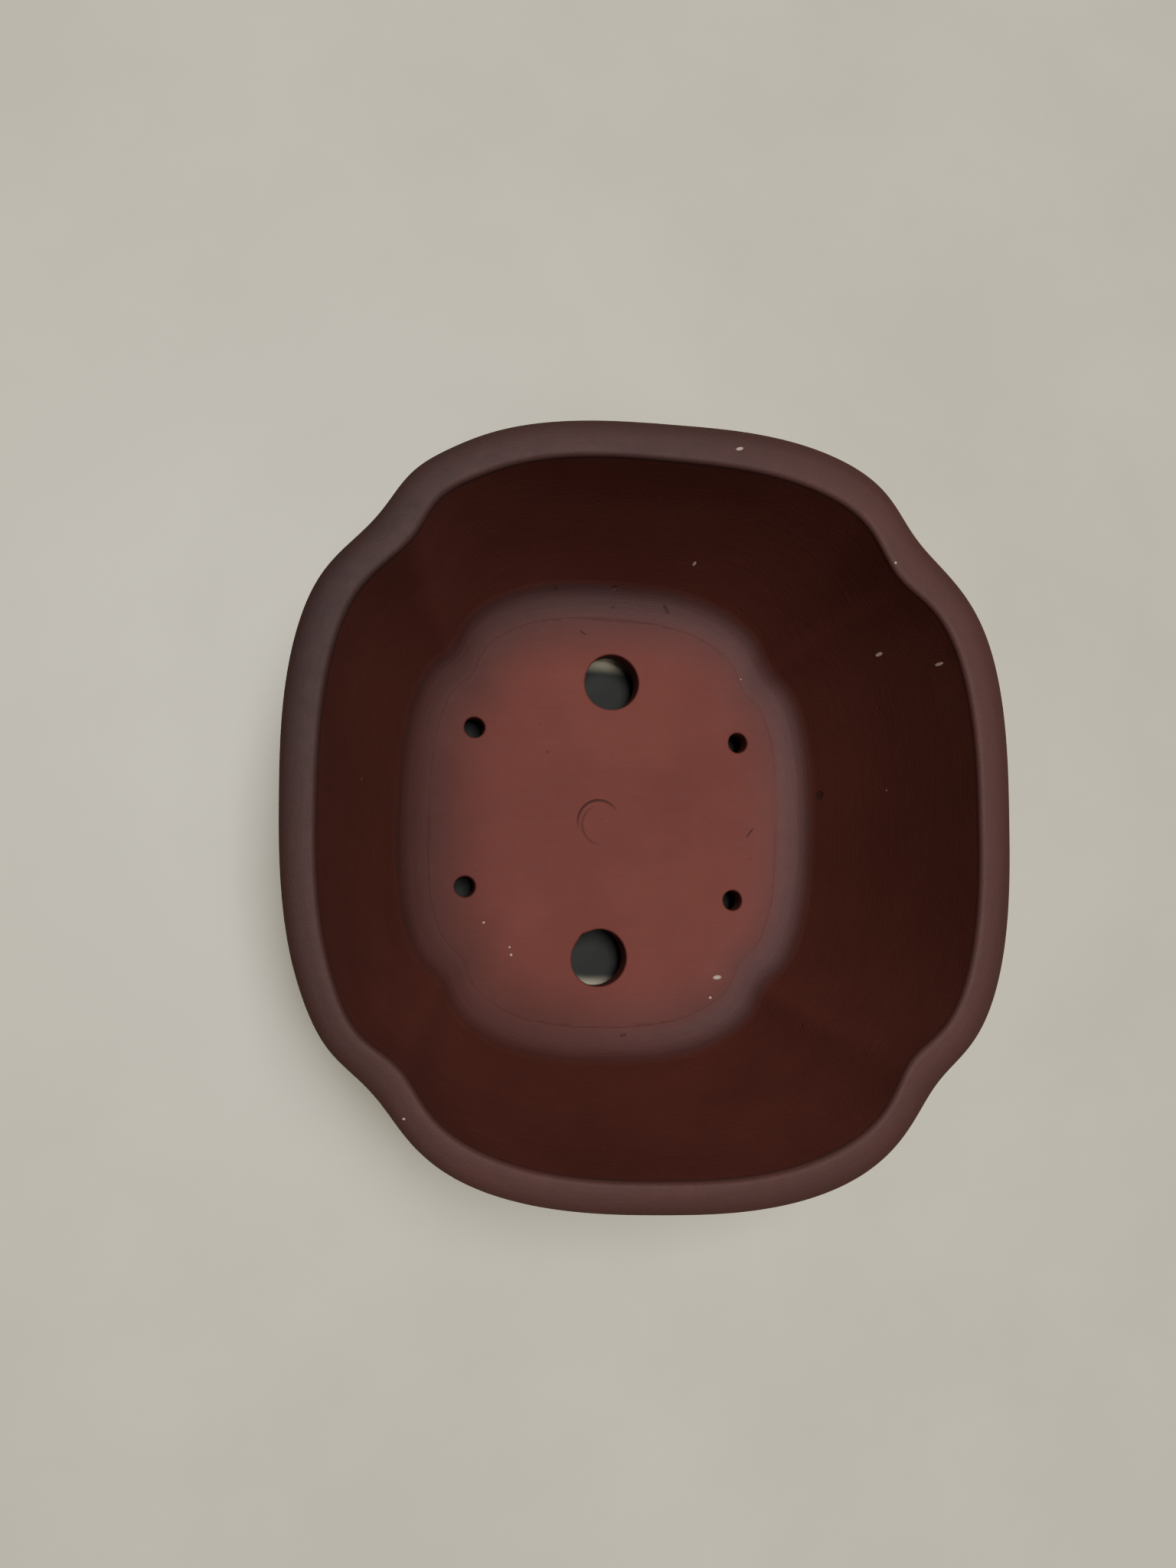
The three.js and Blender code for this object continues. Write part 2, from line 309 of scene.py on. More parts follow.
def clayMaterial(slotName, tone=1.0, scrape=0.35):
    # tone is the clay's own lightness; scrape is how strongly the tool marks show
    graph = Graph(slotName)
    look = clayLook
    place = graph.node("ShaderNodeTexCoord").outputs["Object"]
    flow = graph.attribute("flow").outputs["Vector"]
    polishAndShade, greySheen, filmAndSheen, wall, edge, rim = [
        Value(graph, graph.attribute(name).outputs["Fac"])
        for name in ("polishAndShade", "greySheen", "filmAndSheen", "innerWallShade", "floorEdgeShade", "lipOutside")
    ]

    cloud = graph.noise(place, look["cloudScale"], 4, 0.55)
    mottle = graph.noise(place, look["mottleScale"], 3, 0.6)
    grain = graph.noise(place, look["grainScale"], 3, 0.65)
    marks = graph.noise(graph.stretched(flow, look["toolScale"]), 1.0, 3, 0.6)
    paleSpots = graph.spots(place, 330, 0.13, 0.006)
    darkSpots = graph.spots(place, 420, 0.16, 0.012)
    pits = graph.spots(place, 240, 0.14, 0.015)
    grit, nicks = 0.0, 0.0
    for mark in gritMarks.get(slotName, ()):
        grit = graph.mark(place, *mark) + grit
    for mark in nickMarks.get(slotName, ()):
        nicks = graph.mark(place, *mark) + nicks
    if slotName == "body_clay":
        for middle, radius, side, depth in toolArcs:
            nicks = graph.arc(place, middle, radius, side) * depth + nicks

    color = graph.blend(cloud.ramp(0.32, 0.70), look["deep"], look["warm"])
    # the lip's colour: its polish with painted shade, and a painted greyer sheen on one side
    polishShadeAndSheen = graph.blend(greySheen * (0.75 + 0.5 * cloud), look["polishAndShade"], look["greySheen"])
    color = graph.blend(polishAndShade * (0.85 + 0.3 * (mottle - 0.5)), color, polishShadeAndSheen)
    # the film on the coil, with its painted sheen
    color = graph.blend(filmAndSheen * (0.85 + 0.5 * (mottle - 0.5) + 0.5 * (marks - 0.5)), color, look["filmAndSheen"])
    shade = 0.80 + 0.26 * grain + 0.10 * mottle + 0.14 * (marks - 0.5)
    # painted shade: darker at the lip's outer side and left, and on the floor next to the wall
    shade = shade * tone * (1 - (1 - look["lipShade"]) * rim) * (1 - (1 - look["edgeShade"]) * edge)
    grey = graph.node("ShaderNodeCombineColor", {}, {0: shade, 1: shade, 2: shade}).outputs[0]
    color = graph.blend(1.0, color, grey, "MULTIPLY")
    # painted shade on the inner walls
    color = graph.blend(wall, color, look["wallShadeTint"], "MULTIPLY")
    color = graph.blend(darkSpots * 0.5 + nicks * 0.7, color, look["darkGrain"])
    color = graph.blend(paleSpots * 0.7 + grit * 0.9, color, look["paleGrain"])

    rough = look["roughness"] + (look["rubbedRoughness"] - look["roughness"]) * polishAndShade
    rough = rough + 0.14 * (grain - 0.5) + 0.10 * (mottle - 0.5) - 0.10 * filmAndSheen
    height = 0.55 * grain + 0.5 * mottle + scrape * marks
    height = height + 0.9 * paleSpots + 1.5 * grit - 1.3 * pits - 1.2 * nicks
    bump = graph.node(
        "ShaderNodeBump",
        {},
        {"Height": height, "Distance": look["relief"], "Strength": 0.8},
    )
    surface = graph.node(
        "ShaderNodeBsdfPrincipled",
        {},
        {
            "Base Color": color,
            "Roughness": rough,
            "Specular IOR Level": look["specular"],
            "Normal": bump.outputs["Normal"],
        },
    )
    graph.node("ShaderNodeOutputMaterial", {}, {"Surface": surface.outputs[0]})
    return graph.material


def floorMaterial():
    # a pale, faintly clouded floor, with a painted shadow under the pot
    graph = Graph("pale_floor")
    place = graph.node("ShaderNodeTexCoord").outputs["Object"]
    cloud = graph.noise(place, 9, 4, 0.6)
    color = graph.blend(cloud.ramp(0.3, 0.7), floorLook["shade"], floorLook["color"])
    shaped = graph.stretched(place, floorLook["underShape"])
    # painted shadow under the pot, seen through the drain holes
    under = graph.near(shaped, (0, 0, 0), floorLook["underCore"], floorLook["underReach"])
    color = graph.blend(under, color, floorLook["under"])
    rough = floorLook["roughness"] + 0.5 * under
    surface = graph.node(
        "ShaderNodeBsdfPrincipled",
        {},
        {"Base Color": color, "Roughness": rough},
    )
    graph.node("ShaderNodeOutputMaterial", {}, {"Surface": surface.outputs[0]})
    return graph.material


# The plan of the pot. Lengths are metres and angles are degrees.
plan = {
    "lipHalf": (cadBox[1].x, cadBox[1].y),
    "floorHalf": (67.8 * mm, 76.2 * mm),
    "power": 2.62,  # 2 is an ellipse, more is squarer
    "cornerAngle": 44.6,
    "indentSpread": 7.0,
    "lipIndent": 5.2 * mm,
    "floorIndent": 3.5 * mm,
    "outsideSoftness": 2.0,
    "lipSoftness": 1.2,
    "floorSoftness": 0.6,
    "lipWidth": 10.4 * mm,
    "lipDrop": 3.0 * mm,
    "lipEdgeRadius": 1.8 * mm,
    "wallThickness": 7.0 * mm,
    "wallBelly": 1.5 * mm,
    "coveWidth": 9.0 * mm,
    "coveHeight": 3.6 * mm,
}
potTop = cadBox[1].z
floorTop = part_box("floor_slab")[1].z
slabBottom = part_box("floor_slab")[0].z
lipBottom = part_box("rim_lip")[0].z
lipEdge = potTop - plan["lipEdgeRadius"]

# How far the hand-made pot strays from its plan: slow waves round the mouth that fade out towards the floor,
# a little more or less depth at each corner, and an inner face that is not quite even with the outer one.
handWarp = {
    "inward": 0.85 * mm,  # the whole mouth
    "waves": (  # how many round the mouth, cosine part, sine part
        (1, 0.18 * mm, -0.24 * mm),
        (2, 0.22 * mm, -0.62 * mm),
        (3, -0.85 * mm, 0.55 * mm),
        (4, -0.17 * mm, -0.35 * mm),
        (5, 0.17 * mm, -0.03 * mm),
    ),
    "dents": (  # where in degrees, how deep
        (49.5, 1.9 * mm),
        (131.0, -2.3 * mm),
        (142.5, 1.0 * mm),
        (217.0, -1.0 * mm),
        (318.0, 1.1 * mm),
    ),
    "dentSpread": 6.0,
    "innerWaves": (
        (1, -1.0 * mm, -1.2 * mm),
        (3, 0.36 * mm, -0.20 * mm),
        (4, 0.11 * mm, 0.21 * mm),
    ),
    "lipWave": 0.40 * mm,  # how far the rim dips
    "axisGuard": 20 * mm,  # nearer the axis the push dies away
}


def level(half, indent, softness):
    # a level of the plan for each height: half width, half length, indent depth and indent softness
    return np.stack(np.broadcast_arrays(half[0], half[1], indent, softness), -1).astype(float)


def grown(at, by):
    # the same level with its outline moved outwards
    return at + np.multiply.outer(np.asarray(by, float), np.array([1.0, 1.0, 0.0, 0.0]))


def outlineRadius(at, angle):
    # distance from the axis to the outline: a superellipse of the two halves, less at each corner
    # indent * exp(-2 (sqrt(u^2 + softness^2) - softness)), with u the angle from the corner over the spread
    across, along = np.abs(np.cos(angle)), np.abs(np.sin(angle))
    power = plan["power"]
    oblong = ((across / at[..., 0]) ** power + (along / at[..., 1]) ** power) ** (-1 / power)
    away = (np.degrees(np.arctan2(along, across)) - plan["cornerAngle"]) / plan["indentSpread"]
    return oblong - at[..., 2] * np.exp(-2 * (np.hypot(away, at[..., 3]) - at[..., 3]))


lipOutside = level(plan["lipHalf"], plan["lipIndent"], plan["outsideSoftness"])
lipInside = grown(lipOutside, -plan["lipWidth"])
lipInside[3] = plan["lipSoftness"]
floorLine = level(plan["floorHalf"], plan["floorIndent"], plan["floorSoftness"])


def innerFace(height):
    # the wall's inner face: straight from the floor to the lip's inner edge, plus a parabola for its belly
    share = (np.asarray(height, float) - floorTop) / (lipEdge - floorTop)
    straight = floorLine + np.multiply.outer(share, lipInside - floorLine)
    return grown(straight, plan["wallBelly"] * 4 * share * (1 - share))


def outerFace(height):
    # the same, one wall thickness further out, with rounder indents
    face = grown(innerFace(height), plan["wallThickness"] + 0 * np.asarray(height, float))
    face[..., 3] = plan["outsideSoftness"]
    return face


def crowdedAngles(start, end, count, crowding=0.7):
    # angles from start to end in degrees, closest together at the four corners
    turn = np.radians(np.linspace(start, end, count))
    return turn + crowding / 4 * np.sin(4 * turn)


def carried(levels, heights, angles):
    # a profile (levels and heights) carried round the outline: point = (r cos a, r sin a, h)
    radius = outlineRadius(levels[None, :, :], angles[:, None])
    high = np.broadcast_to(heights, radius.shape)
    return np.stack([radius * np.cos(angles)[:, None], radius * np.sin(angles)[:, None], high], -1)


def smooth(value, start, end):
    # 0 at start and 1 at end, eased: t^2 (3 - 2t)
    share = np.clip((value - start) / (end - start), 0, 1)
    return share * share * (3 - 2 * share)


def waveSum(waves, angle):
    # sum of cosine part * cos ka + sine part * sin ka
    return sum(
        cosinePart * np.cos(count * angle) + sinePart * np.sin(count * angle)
        for count, cosinePart, sinePart in waves
    )


def warped(points):
    # the potter's hand: radius + (waves - inward - dents * exp(-(turn / spread)^2)) * rise^2, with the inner
    # waves on the inner face alone, and the height lowered by lipWave * (1 + sin(2a + 1)) / 2 * rise^3
    x, y, z = points[..., 0], points[..., 1], points[..., 2]
    radius, angle = np.hypot(x, y), np.arctan2(y, x)
    rise = np.clip((z - floorTop) / (potTop - floorTop), 0, 1)
    push = waveSum(handWarp["waves"], angle) - handWarp["inward"]
    for degrees, depth in handWarp["dents"]:
        turn = (np.degrees(angle) - degrees + 180) % 360 - 180
        push = push - depth * np.exp(-((turn / handWarp["dentSpread"]) ** 2))
    wall = outlineRadius(innerFace(np.clip(z, floorTop, lipEdge)), angle)
    inner = 1 - smooth(radius - wall, 0, plan["wallThickness"])
    push = push + inner * waveSum(handWarp["innerWaves"], angle)
    grow = 1 + push * rise**2 / np.maximum(radius, handWarp["axisGuard"])
    drop = handWarp["lipWave"] * (1 + np.sin(2 * angle + 1)) / 2 * rise**3
    return np.stack([x * grow, y * grow, z - drop], -1)


def gridFaces(rows, columns, wrapRows, wrapColumns):
    # the four-sided faces of a grid of points, which may close on itself either way
    row = np.arange(rows if wrapRows else rows - 1)
    column = np.arange(columns if wrapColumns else columns - 1)
    r, c = [axis.ravel() for axis in np.meshgrid(row, column, indexing="ij")]
    r2, c2 = (r + 1) % rows, (c + 1) % columns
    return np.stack([r * columns + c, r2 * columns + c, r2 * columns + c2, r * columns + c2], -1)


weldReach = 2e-7  # points nearer than this become one


def pieceFrom(name, points, faces, material, sharp=50):
    # a mesh piece that stands in for the node of its name, smooth but for edges sharper than the angle
    mesh = bpy.data.meshes.new(name)
    mesh.from_pydata(points.reshape(-1, 3).tolist(), [], faces)
    piece = bpy.data.objects.new(name, mesh)
    bpy.context.scene.collection.objects.link(piece)
    work = bmesh.new()
    work.from_mesh(mesh)
    bmesh.ops.remove_doubles(work, verts=work.verts, dist=weldReach)
    bmesh.ops.recalc_face_normals(work, faces=work.faces)
    work.to_mesh(mesh)
    work.free()
    mesh.shade_smooth()
    mesh.set_sharp_from_angle(angle=math.radians(sharp))
    mesh.materials.append(material)
    paintSurface(mesh)
    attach(piece, "root")
    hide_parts(name)


def cappedTube(name, points, material, sharp=50):
    # a carried profile with a face over each end
    rows, columns = points.shape[:2]
    faces = gridFaces(rows, columns, False, True).tolist()
    faces.append(list(range(columns)))
    faces.append([(rows - 1) * columns + column for column in range(columns)])
    pieceFrom(name, points, faces, material, sharp)


# Where the clay and its painted shade and sheen change over the pot. Directions are degrees from the right,
# lengths run in from the wall.
surfaceZones = {
    "greySheenToward": 125,  # the lip's painted sheen is greyest on this side
    "darkLeft": 1.5,  # painted shade on the lip's left side, as a share of its painted outer shade
    "filmToward": 24,  # the film and its painted sheen over the coil are thickest on this side
    "filmLeast": 0.16,  # its strength on the other side
    "filmGain": 0.76,  # what it gains on the way round
    "film": ((0.45, 28 * mm, 5 * mm), (0.53, 12.5 * mm, 2.5 * mm)),  # share, where it starts, where full
    "edgeReach": 26 * mm,  # the floor's painted shade next to the wall
    "edgeReachSwing": 10 * mm,  # more on the left, less on the right
    "edgeSwing": 0.6,
    "creaseSpread": 2.2,  # degrees to each side of an inner corner
    # painted light at each inner corner: less of the walls' painted shade there
    "creaseLight": 0.16,
    "shortWallShade": 0.70,  # painted shade: the front and back walls are a little lighter than the long ones
}


def paintSurface(mesh):
    # attributes that follow the place of each point, so that they run on from piece to piece: flow holds the
    # way round and the way up, polishAndShade is the polished lip with painted shade, greySheen its painted
    # greyer sheen, lipOutside its painted shade on the outer side and left, filmAndSheen the film and
    # painted sheen on the coil, floorEdgeShade the painted shade on the floor by it, innerWallShade the
    # painted shade on the walls inside
    zones = surfaceZones
    count = len(mesh.vertices)
    flat = np.empty(count * 3)
    mesh.vertices.foreach_get("co", flat)
    points = flat.reshape(-1, 3)
    x, y, z = points.T
    angle, radius = np.arctan2(y, x), np.hypot(x, y)
    wall = outlineRadius(innerFace(np.maximum(z, floorTop)), angle)
    out = radius - wall  # 0 on the wall's inner face
    onFloor = (-out > plan["coveWidth"]) & (np.abs(z - floorTop) < 2 * mm)
    flow = np.where(
        onFloor[:, None],
        np.stack([x, 0 * x, y], -1),
        np.stack([0.1 * np.cos(angle), 0.1 * np.sin(angle), z + 0.7 * out], -1),
    )
    beyond = radius - outlineRadius(lipInside, angle)  # 0 at the lip's inner edge
    # the polished lip, whose colour carries painted shade and sheen
    onInside = smooth(z, lipEdge - 1.2 * mm, lipEdge + 0.6 * mm)
    onOutside = smooth(z, lipBottom - 6 * mm, lipBottom + 3 * mm)
    polishAndShade = onInside + smooth(beyond, 0.5 * mm, 4 * mm) * (onOutside - onInside)
    # painted sheen: the lip greyer towards one side
    greySheen = smooth(np.cos(angle - math.radians(zones["greySheenToward"])), 0.3, 0.95)
    # painted shade on the lip's outer side, and more on its left
    lipShadeMask = smooth(beyond, 1 * mm, plan["lipWidth"]) * onOutside
    lipShadeMask += zones["darkLeft"] * smooth(-np.cos(angle), 0.4, 1.0) * polishAndShade
    climb = z - floorTop
    inside = (climb > -1 * mm) & (out < 2 * mm)
    low = smooth(climb, plan["coveHeight"] + 2.8 * mm, plan["coveHeight"] - 0.5 * mm)
    # the film on the coil and its painted sheen, strongest towards the right
    filmSide = smooth(np.cos(angle - math.radians(zones["filmToward"])), -0.95, 0.3)
    filmSide = zones["filmLeast"] + zones["filmGain"] * filmSide
    film = sum(share * smooth(-out, start, full) for share, start, full in zones["film"])
    filmAndSheen = low * filmSide * film * inside
    # painted shade on the floor next to the wall, wider and darker on the left
    reach = zones["edgeReach"] - zones["edgeReachSwing"] * np.cos(angle)
    floorEdgeShade = low * smooth(-out, reach, 1 * mm) * (1 - zones["edgeSwing"] * np.cos(angle)) * inside
    # painted shade on the inner walls, with painted light at the inner corners and less on the front and
    # back walls
    fromCrease = np.degrees(np.arctan2(np.abs(y), np.abs(x))) - plan["cornerAngle"]
    ridge = np.exp(-((fromCrease / zones["creaseSpread"]) ** 2))
    innerWallShade = smooth(climb, plan["coveHeight"] - 2.2 * mm, plan["coveHeight"] + 1.5 * mm)
    innerWallShade = innerWallShade * (1 - polishAndShade) * smooth(out, 3 * mm, 2 * mm) * (1 - zones["creaseLight"] * ridge)
    innerWallShade *= zones["shortWallShade"] + (1 - zones["shortWallShade"]) * np.cos(angle) ** 2
    for label, kind, field, data in (
        ("flow", "FLOAT_VECTOR", "vector", flow),
        ("polishAndShade", "FLOAT", "value", polishAndShade),
        ("greySheen", "FLOAT", "value", greySheen),
        ("lipOutside", "FLOAT", "value", lipShadeMask),
        ("filmAndSheen", "FLOAT", "value", filmAndSheen),
        ("floorEdgeShade", "FLOAT", "value", floorEdgeShade),
        ("innerWallShade", "FLOAT", "value", innerWallShade),
    ):
        layer = mesh.attributes.new(label, kind, "POINT")
        layer.data.foreach_set(field, data.astype(np.float32).ravel())


wallPanel = {"columns": 220, "rows": 64, "edgeRows": 4, "crowding": 0.2}


def panelAngles(middle, halfAngle):
    # the columns of a panel, closer together near its two seams
    columns = max(40, int(wallPanel["columns"] * fineness))
    turn = np.linspace(-1, 1, columns)
    turn = turn + wallPanel["crowding"] * np.sin(np.pi * turn)
    return math.radians(middle) + math.radians(halfAngle) * turn


def addWall(side, middle, halfAngle, material):
    # the panel is a closed box of two parameters, the way round and the way over: up the outer face, across
    # the top, down the inner face and across the foot
    rows = max(12, int(wallPanel["rows"] * fineness))
    up = np.linspace(floorTop, lipBottom, rows)
    outside, inside = outerFace(up), innerFace(up[::-1])
    share = np.linspace(0, 1, wallPanel["edgeRows"] + 2)[1:-1]
    top = outside[-1] + np.multiply.outer(share, inside[0] - outside[-1])
    foot = inside[-1] + np.multiply.outer(share, outside[0] - inside[-1])
    levels = np.concatenate([outside, top, inside, foot])
    heights = np.concatenate([up, 0 * share + lipBottom, up[::-1], 0 * share + floorTop])
    points = warped(carried(levels, heights, panelAngles(middle, halfAngle)))
    cappedTube(f"wall_{side}", points, material)


lipPiece = {"columns": 720, "innerRows": 16, "edgeRows": 10, "domeRows": 30, "underRows": 20, "seatRows": 8}


def quarterTurn(rows):
    return np.linspace(0, math.pi / 2, max(4, int(rows * fineness)))


def addLip(material):
    # the lip's profile: up the inner face, a small quarter round, a quarter ellipse falling to the widest
    # line, a quarter ellipse back to the wall, and straight across the seat
    size = lipPiece
    widest = potTop - plan["lipDrop"]
    edgeShare = plan["lipEdgeRadius"] / plan["lipWidth"]
    up = np.linspace(lipBottom, lipEdge, max(6, int(size["innerRows"] * fineness)))
    edge, dome, under = [quarterTurn(size[rows]) for rows in ("edgeRows", "domeRows", "underRows")]
    wallEdge = outerFace(lipBottom)
    seat = np.linspace(0, 1, size["seatRows"])

    def across(share):
        return lipInside + np.multiply.outer(share, lipOutside - lipInside)

    parts = [
        (innerFace(up), up),
        (across(edgeShare * (1 - np.cos(edge))), lipEdge + plan["lipEdgeRadius"] * np.sin(edge)),
        (across(edgeShare + (1 - edgeShare) * np.sin(dome)), widest + plan["lipDrop"] * np.cos(dome)),
        (
            wallEdge + np.multiply.outer(np.cos(under), lipOutside - wallEdge),
            widest + (lipBottom - widest) * np.sin(under),
        ),
        (wallEdge + np.multiply.outer(seat, innerFace(lipBottom) - wallEdge), 0 * seat + lipBottom),
    ]
    levels = np.concatenate([part[0][:-1] for part in parts])
    heights = np.concatenate([part[1][:-1] for part in parts])
    angles = crowdedAngles(0, 360, int(size["columns"] * fineness) + 1)[:-1]
    points = warped(carried(levels, heights, angles))
    faces = gridFaces(*points.shape[:2], True, True).tolist()
    pieceFrom("rim_lip", points, faces, material)


covePiece = {
    "columns": 720,
    "fillet": 2.8 * mm,  # where the coil is smeared up the wall
    "filletRows": 12,
    "faceRows": 20,
    "backRows": 8,
    "sunk": 0.12 * mm,  # how far its back lies inside the wall and floor
}


def addCove(material):
    # the coil's face, from the wall to the floor: a quadratic curve that leaves the wall along it and turns
    # onto the parabola height (1 - inset / width)^2, which runs out level into the floor;
    # its back lies a hair behind the wall's face and under the floor's
    width, height, fillet = plan["coveWidth"], plan["coveHeight"], covePiece["fillet"]
    sunk = covePiece["sunk"]

    def parabola(inset):
        return height * (1 - inset / width) ** 2

    bend = np.linspace(0, 1, covePiece["filletRows"])
    filletInset = bend**2 * fillet
    filletHigh = (1 - bend) ** 2 * (height + fillet) + 2 * bend * (1 - bend) * height
    filletHigh = filletHigh + bend**2 * parabola(fillet)
    runInset = np.linspace(fillet, width, covePiece["faceRows"])[1:]
    inset = np.concatenate([filletInset, runInset])
    faceHigh = floorTop + np.concatenate([filletHigh, parabola(runInset)])
    face = grown(innerFace(faceHigh), -inset)
    share = np.linspace(0, 1, covePiece["backRows"])
    backFloor = grown(innerFace(floorTop + 0 * share), -width * (1 - share) + sunk)
    wallHigh = floorTop + (height + fillet) * share[1:-1]
    backWall = grown(innerFace(wallHigh), sunk + 0 * wallHigh)
    levels = np.concatenate([face, backFloor, backWall])
    heights = np.concatenate([faceHigh, floorTop - sunk + 0 * share, wallHigh])
    angles = crowdedAngles(0, 360, int(covePiece["columns"] * fineness) + 1)[:-1]
    points = warped(carried(levels, heights, angles))
    faces = gridFaces(*points.shape[:2], True, True).tolist()
    pieceFrom("cove_coil", points, faces, material)


slabPiece = {
    "drainRadius": 9.2 * mm,
    "drainPlaces": ((0.3 * mm, 46.0 * mm), (-1.7 * mm, -45.0 * mm)),
    "wireRadius": 3.3 * mm,
    "wirePlaces": (
        (-45.0 * mm, 28.4 * mm),
        (44.8 * mm, 28.0 * mm),
        (-46.4 * mm, -23.0 * mm),
        (43.8 * mm, -25.2 * mm),
    ),
    "holeRound": 0.7 * mm,  # how far a hole's edge is softened
    "holeStrip": 0.25 * mm,  # the flat strip round it
    "holeColumns": 96,
    "holeRows": 7,
    "edgeRound": 1.6 * mm,
    "edgeRows": 8,
    "edgeColumns": 480,
    "spacing": 1.1 * mm,  # between points of the floor's face
    "underSpacing": 4,  # times as far apart below
    "unevenness": 0.10 * mm,
}

# The notch in the front drain hole: direction in degrees, spread in radians, depth as a share of the radius.
drainNotch = {"toward": 128, "spread": 0.16, "depth": 0.05}


def handCut(radius, place, angle):
    # a hole cut by hand: radius (1 + 0.012 sin(2a + p) + 0.008 sin(3a + q)), with p and q from the hole's
    # place, and a notch, depth exp(-(turn / spread)^2), in the front drain hole
    wander = 0.012 * np.sin(2 * angle + 90 * place[0]) + 0.008 * np.sin(3 * angle + 60 * place[1])
    notch = 0.0
    if radius == slabPiece["drainRadius"] and place[1] < 0:
        away = (angle - math.radians(drainNotch["toward"]) + math.pi) % (2 * math.pi) - math.pi
        notch = drainNotch["depth"] * np.exp(-((away / drainNotch["spread"]) ** 2))
    return radius * (1 + wander + notch)


def slabHoles():
    size = slabPiece
    holes = [(place, size["drainRadius"]) for place in size["drainPlaces"]]
    return holes + [(place, size["wireRadius"]) for place in size["wirePlaces"]]


def roundedColumn(depth, soft, rows):
    # profile of a hole's wall, as (out, height) pairs: quarter round, straight wall, quarter round
    turn = np.linspace(0, math.pi / 2, rows)
    out = soft * (1 - np.sin(turn))
    drop = soft * (1 - np.cos(turn))
    top = np.stack([out, depth - drop], -1)
    bottom = np.stack([out[::-1], drop[::-1]], -1)
    return np.concatenate([top, bottom])


def sheetOver(loops, keep, height, spacing):
    # a flat sheet bounded by the loops, filled with an even lattice of points and joined into triangles
    low, high = loops[0].min(0), loops[0].max(0)
    columns = np.arange(low[0], high[0], spacing)
    rows = np.arange(low[1], high[1], spacing * math.sqrt(0.75))
    x, y = np.meshgrid(columns, rows)
    x = x + np.where(np.arange(len(rows)) % 2, spacing / 2, 0)[:, None]
    lattice = np.stack([x.ravel(), y.ravel()], -1)
    lattice = lattice[keep(lattice, spacing * 0.6)]
    edges, start = [], 0
    for loop in loops:
        index = np.arange(len(loop))
        edges.append(np.stack([start + index, start + (index + 1) % len(loop)], -1))
        start += len(loop)
    flat = np.concatenate([*loops, lattice])
    made = delaunay_2d_cdt(
        [Vector(point) for point in flat.tolist()], np.concatenate(edges).tolist(), [], 0, 1e-8
    )
    points = np.array([tuple(point) for point in made[0]])
    faces = np.array([face for face in made[2] if len(face) == 3])
    middle = points[faces].mean(1)
    faces = faces[keep(middle, 0.0)]
    return np.column_stack([points, np.full(len(points), height)]), faces


def holeWall(place, radius, profile):
    # the profile carried round a hand-cut circle
    turn = np.linspace(0, 2 * math.pi, slabPiece["holeColumns"], endpoint=False)
    reach = handCut(radius, place, turn)[:, None] + profile[None, :, 0]
    x = place[0] + reach * np.cos(turn)[:, None]
    y = place[1] + reach * np.sin(turn)[:, None]
    return np.stack([x, y, np.broadcast_to(slabBottom + profile[:, 1], reach.shape)], -1)


def slabEdge():
    # the outer edge and its levels: a quarter round below, then up the wall's outer face
    soft, rows = slabPiece["edgeRound"], slabPiece["edgeRows"]
    turn = np.linspace(0, math.pi / 2, rows)[::-1]
    low = slabBottom + soft * (1 - np.sin(turn))
    rise = np.linspace(slabBottom + soft, floorTop, rows)
    lowLevels = grown(outerFace(low), -soft * (1 - np.cos(turn)))
    levels = np.concatenate([lowLevels[:-1], outerFace(rise)])
    heights = np.concatenate([low[:-1], rise])
    angles = crowdedAngles(0, 360, slabPiece["edgeColumns"] + 1)[:-1]
    return carried(levels, heights, angles), levels


def openFloor(outline, holes):
    # a test for points that lie inside the outline and outside every hole, by a margin
    def keep(points, margin):
        angle, radius = np.arctan2(points[:, 1], points[:, 0]), np.hypot(points[:, 0], points[:, 1])
        inside = radius < outlineRadius(outline, angle) - margin
        for place, size in holes:
            away = points - np.array(place)
            bound = handCut(size, place, np.arctan2(away[:, 1], away[:, 0]))
            bound = bound + slabPiece["holeRound"] + slabPiece["holeStrip"]
            inside &= np.hypot(away[:, 0], away[:, 1]) > bound + margin
        return inside

    return keep


def addSlab(material):
    # the slab: a face above and below, six hole walls and the outer edge, all sharing their loops of points
    size = slabPiece
    holes = slabHoles()
    depth = floorTop - slabBottom
    strip = size["holeRound"] + size["holeStrip"]
    profile = roundedColumn(depth, size["holeRound"], size["holeRows"])
    profile = np.concatenate([[[strip, depth]], profile, [[strip, 0]]])
    walls = [holeWall(place, radius, profile) for place, radius in holes]
    edge, levels = slabEdge()
    parts = [(wall.reshape(-1, 3), gridFaces(*wall.shape[:2], True, False)) for wall in (*walls, edge)]

    loops = [wall[:, 0, :2] for wall in walls]
    spacing = size["spacing"] / fineness
    top, topFaces = sheetOver([edge[:, -1, :2], *loops], openFloor(levels[-1], holes), floorTop, spacing)
    top[:, 2] += floorRelief(top[:, 0], top[:, 1], holes)
    spacing = spacing * size["underSpacing"]
    under, underFaces = sheetOver([edge[:, 0, :2], *loops], openFloor(levels[0], holes), slabBottom, spacing)
    parts += [(top, topFaces), (under, underFaces)]

    faces, start = [], 0
    for points, partFaces in parts:
        faces += (partFaces + start).tolist()
        start += len(points)
    allPoints = np.concatenate([points for points, _ in parts])
    pieceFrom("floor_slab", allPoints, faces, material)


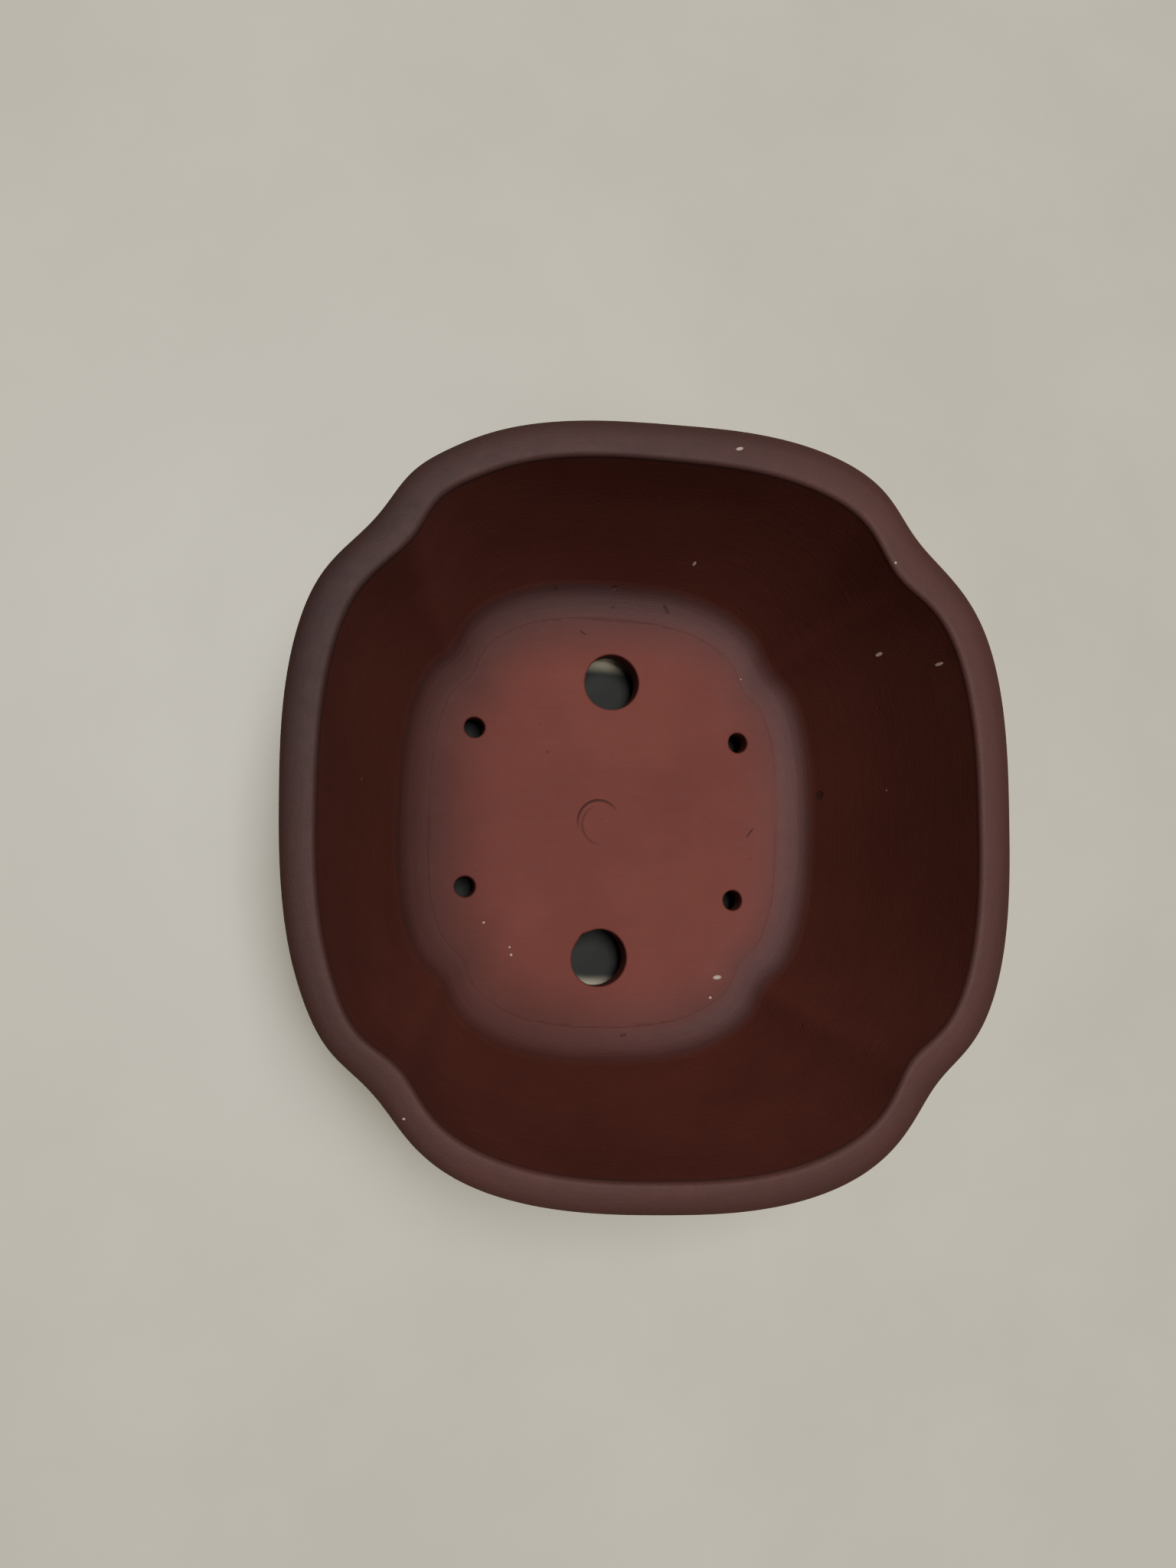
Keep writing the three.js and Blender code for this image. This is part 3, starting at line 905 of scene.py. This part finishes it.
def floorRelief(x, y, holes):
    # slow waves of a hand-beaten slab, fading out at holes and walls
    waves = np.sin(70 * x + 1.1) * np.sin(60 * y + 0.4) + 0.5 * np.sin(150 * x + 40 * y)
    calm = smooth(plan["floorHalf"][0] - plan["coveWidth"] - np.hypot(x, y * 0.86), 0, 8 * mm)
    for place, radius in holes:
        calm = calm * smooth(np.hypot(x - place[0], y - place[1]), radius + 1.2 * mm, radius + 5 * mm)
    return calm * slabPiece["unevenness"] * (waves - 1.5) / 1.5


footPiece = {
    "topHalf": 23.0 * mm,
    "toeHalf": 14.0 * mm,
    "setback": 2.0 * mm,
    "thickness": 9.0 * mm,
    "columns": 120,
    "around": 64,
    "squareness": 0.35,  # 1 is a round section, less is squarer
    "curl": 0.97,  # how much of the way up to the slab the lower edge curls
    "sunk": 0.15 * mm,  # into the slab
}


def addFoot(corner, degrees, material):
    # a bracket carried along the corner: its lower edge is level over the toe and curls up on both sides, by
    # 1 - sqrt(1 - bend^2); its section is a circle with both coordinates raised to the squareness
    size = footPiece
    base = float(outlineRadius(outerFace(slabBottom), math.radians(degrees)))
    span = size["topHalf"] / base
    share = np.sin(np.linspace(-math.pi / 2, math.pi / 2, max(30, int(size["columns"] * fineness))))
    angles = math.radians(degrees) + span * share
    along = np.abs(share) * size["topHalf"]
    bend = np.clip((along - size["toeHalf"]) / (size["topHalf"] - size["toeHalf"]), 0, 1)
    lift = slabBottom * (1 - np.sqrt(np.clip(1 - bend**2, 0, 1))) * size["curl"]
    outer = outlineRadius(grown(outerFace(slabBottom), -size["setback"]), angles)
    inner = outer - size["thickness"]
    middle, half = (outer + inner) / 2, (outer - inner) / 2
    turn = np.linspace(0, 2 * math.pi, size["around"], endpoint=False)
    boxX = np.sign(np.cos(turn)) * np.abs(np.cos(turn)) ** size["squareness"]
    boxZ = np.sign(np.sin(turn)) * np.abs(np.sin(turn)) ** size["squareness"]
    top = slabBottom + size["sunk"]
    high = (lift[:, None] + top) / 2 + (top - lift[:, None]) / 2 * boxZ[None, :]
    radius = middle[:, None] + half[:, None] * boxX[None, :]
    points = np.stack([radius * np.cos(angles)[:, None], radius * np.sin(angles)[:, None], high], -1)
    cappedTube(f"foot_{corner}", points, material, 60)


def addFloor():
    half = floorLook["size"] / 2
    mesh = bpy.data.meshes.new("studio_floor")
    corners = [(-half, -half, 0), (half, -half, 0), (half, half, 0), (-half, half, 0)]
    mesh.from_pydata(corners, [], [(0, 1, 2, 3)])
    mesh.materials.append(floorMaterial())
    floor = bpy.data.objects.new("studio_floor", mesh)
    bpy.context.scene.collection.objects.link(floor)


addCamera()
addLights()
addFloor()
print("camera, lights and floor are up")

bodyClay = clayMaterial("body_clay")
lipClay = clayMaterial("lip_clay", 1.0, 0.25)
coveClay = clayMaterial("cove_clay", 1.0, 0.45)
footClay = clayMaterial("foot_clay", 0.92, 0.3)
print("clay is mixed")

addSlab(bodyClay)
print("floor slab is cut")
corner = plan["cornerAngle"]
for side, middle, halfAngle in (
    ("right", 0, corner),
    ("back", 90, 90 - corner),
    ("left", 180, corner),
    ("front", 270, 90 - corner),
):
    addWall(side, middle, halfAngle, bodyClay)
print("walls are up")
addCove(coveClay)
addLip(lipClay)
print("coil and lip are on")
for name, degrees in (
    ("back_right", corner),
    ("back_left", 180 - corner),
    ("front_left", 180 + corner),
    ("front_right", 360 - corner),
):
    addFoot(name, degrees, footClay)
print("feet are on")
